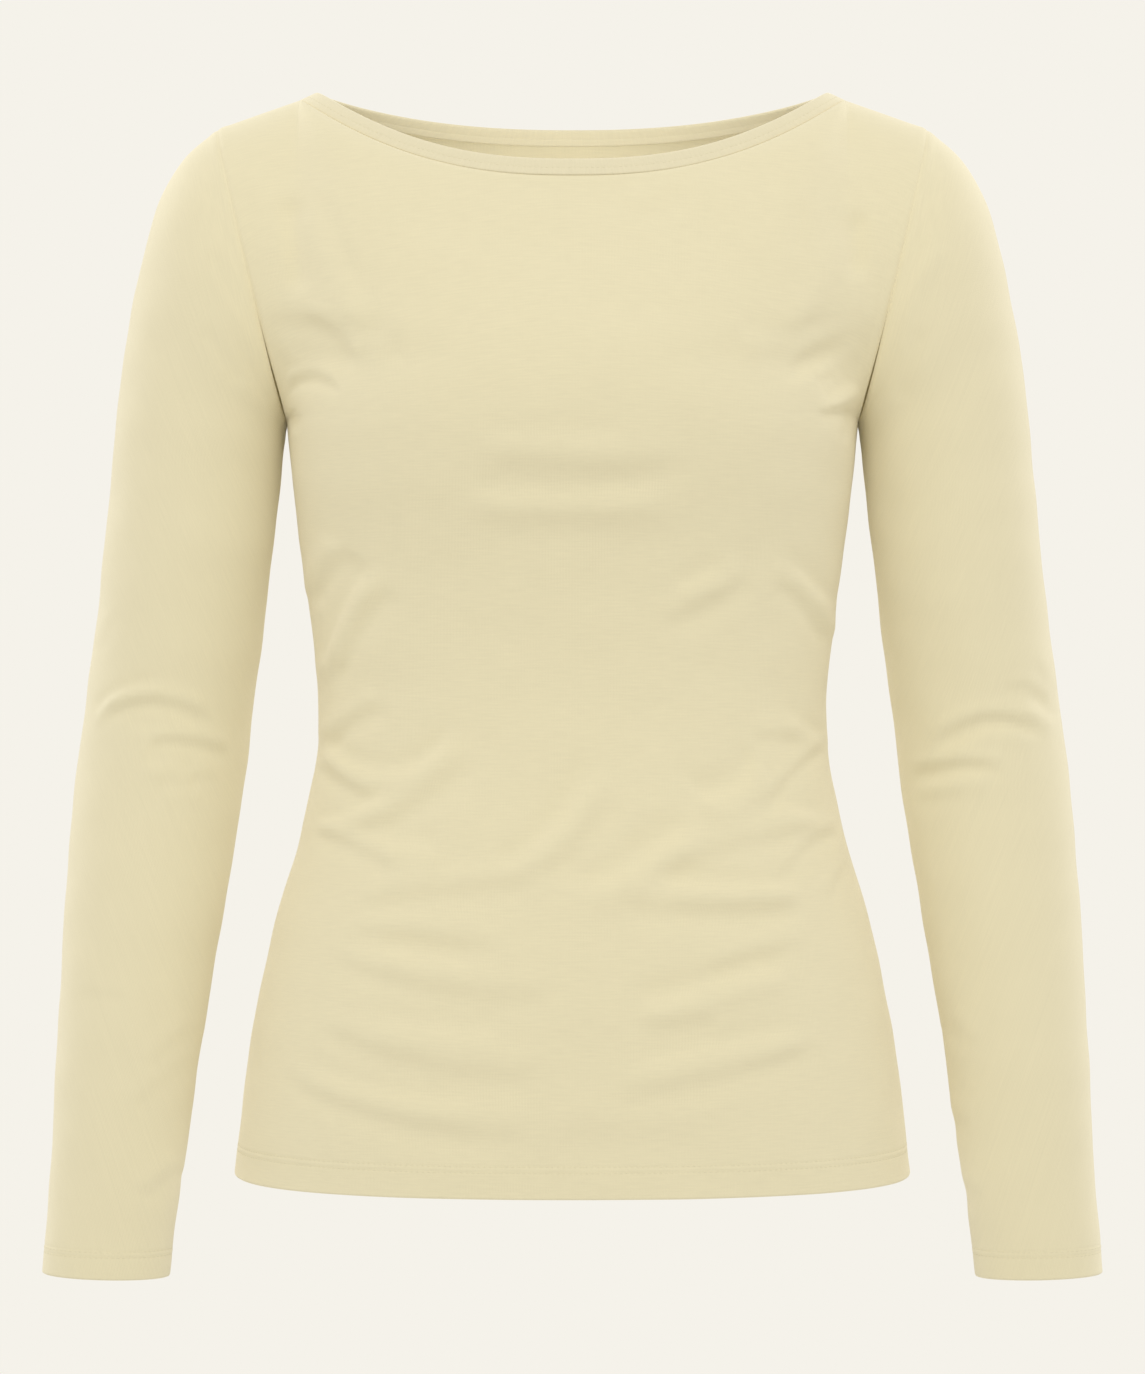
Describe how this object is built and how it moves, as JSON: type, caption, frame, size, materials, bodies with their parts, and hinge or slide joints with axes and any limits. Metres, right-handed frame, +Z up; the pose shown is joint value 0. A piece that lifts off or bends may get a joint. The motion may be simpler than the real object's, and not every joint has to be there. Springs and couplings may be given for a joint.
{
  "type": "long-sleeve t-shirt",
  "caption": "Fitted long-sleeve top in fine jersey with a wide boat neck, a narrow bound neck edge and plain turned hems, hollow and filled out as worn.",
  "frame": {"origin": "on the centre plane, level with the tops of the shoulders beside the neck, where a wearer holds the garment up", "axes": "+Z up, -Y towards the front of the garment, +X towards the wearer's left"},
  "size_m": [0.5768, 0.2337, 0.6468],
  "materials": {
    "jersey": "matte fine slub jersey, pale butter yellow",
    "binding": "the same jersey, folded double"
  },
  "bodies": {
    "root": {"front_panel": "jersey", "back_panel": "jersey", "sleeve_left": "jersey", "sleeve_right": "jersey", "neck_binding": "binding"}
  },
  "joints": []
}
